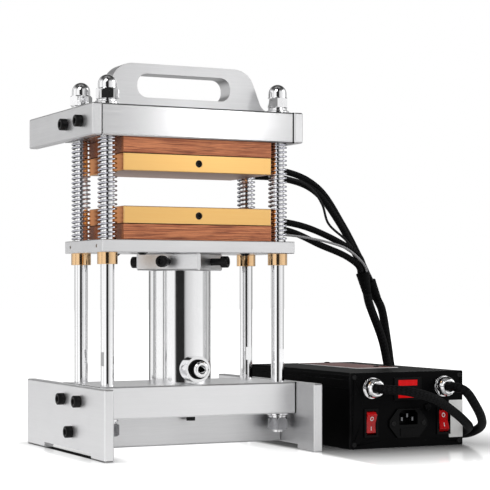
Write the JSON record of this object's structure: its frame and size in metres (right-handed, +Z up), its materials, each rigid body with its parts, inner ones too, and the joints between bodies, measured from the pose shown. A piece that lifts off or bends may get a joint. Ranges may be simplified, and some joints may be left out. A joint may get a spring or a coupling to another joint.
{
  "type": "hydraulic heat press",
  "caption": "Tabletop hydraulic heat press: a ram lifts its lower heated platen along guide posts towards the upper one, against return springs; cables join it to a control box.",
  "frame": {"origin": "middle of the footprint of press and control box together, cables left out, on the floor", "axes": "+X along the front of the press, from the press towards the control box; +Y towards the back; +Z up"},
  "size_m": [0.4825, 0.3051, 0.4297],
  "materials": {
    "plate": "satin brushed",
    "chrome": "polished",
    "spring": "bright wire",
    "steel": "ground",
    "platen": "gold anodised",
    "board_wood": "reddish laminate board",
    "bronze": "turned bronze",
    "screw_black": "black oxide",
    "case_black": "black satin anodised",
    "plastic_black": "moulded",
    "red_window": "tinted window",
    "red_rocker": "moulded",
    "rubber": "matt",
    "circuit": "circuit board",
    "braid": "braided sleeve"
  },
  "bodies": {
    "frame": {"base_block": "plate", "base_side_left": "plate", "base_side_right": "plate", "cross_bar": "plate", "top_block": "plate", "ear_left": "plate", "ear_right": "plate", "handle": "plate", "guide_post_front_left": "chrome", "guide_post_front_right": "chrome", "guide_post_rear_left": "chrome", "guide_post_rear_right": "chrome", "base_nuts": "chrome", "post_washers": "chrome", "acorn_nuts": "chrome", "ram_cylinder": "chrome", "port_fitting": "chrome", "gland_bodies": "chrome", "gland_caps": "chrome", "inlet_pins": "chrome", "spring_front_left": "spring", "spring_front_right": "spring", "spring_rear_left": "spring", "spring_rear_right": "spring", "ram_gland": "steel", "upper_heaters": "steel", "upper_platen": "platen", "upper_insulator": "board_wood", "base_side_screws": "screw_black", "ear_screws": "screw_black", "top_block_screws": "screw_black", "cylinder_screws": "screw_black", "panel_screws": "screw_black", "case_lower": "case_black", "case_upper": "case_black", "front_panel": "case_black", "rear_panel": "case_black", "display_bezel": "plastic_black", "rocker_frames": "plastic_black", "power_inlet": "plastic_black", "fuse_cap": "plastic_black", "display_windows": "red_window", "port_seal": "rubber", "splice_boots": "rubber", "control_board": "circuit", "upper_leads": "braid", "lower_leads": "braid", "control_cables": "braid"},
    "carriage": {"moving_plate": "plate", "guide_bushes": "bronze", "lower_insulator": "board_wood", "lower_platen": "platen", "lower_platen_screws": "screw_black", "lower_heaters": "steel", "ram_collar": "steel", "collar_screws": "screw_black", "ram_piston": "chrome", "piston_seal": "rubber"},
    "rocker_left": {"rocker_left": "red_rocker"},
    "rocker_right": {"rocker_right": "red_rocker"}
  },
  "joints": [
    {"name": "plate_lift", "type": "slide", "parent": "frame", "child": "carriage", "axis": [0, 0, 1], "range_m": [0, 0.0375], "stiffness_N_per_m": 1500, "springref_m": -0.02, "deforming": ["spring_front_left", "spring_front_right", "spring_rear_left", "spring_rear_right", "lower_leads"]},
    {"name": "left_switch", "type": "hinge", "parent": "frame", "child": "rocker_left", "pos_m": [0.10433, -0.117, 0.029], "axis": [1, 0, 0], "range_deg": [-18, 0]},
    {"name": "right_switch", "type": "hinge", "parent": "frame", "child": "rocker_right", "pos_m": [0.20092, -0.117, 0.029], "axis": [1, 0, 0], "range_deg": [0, 18]}
  ]
}
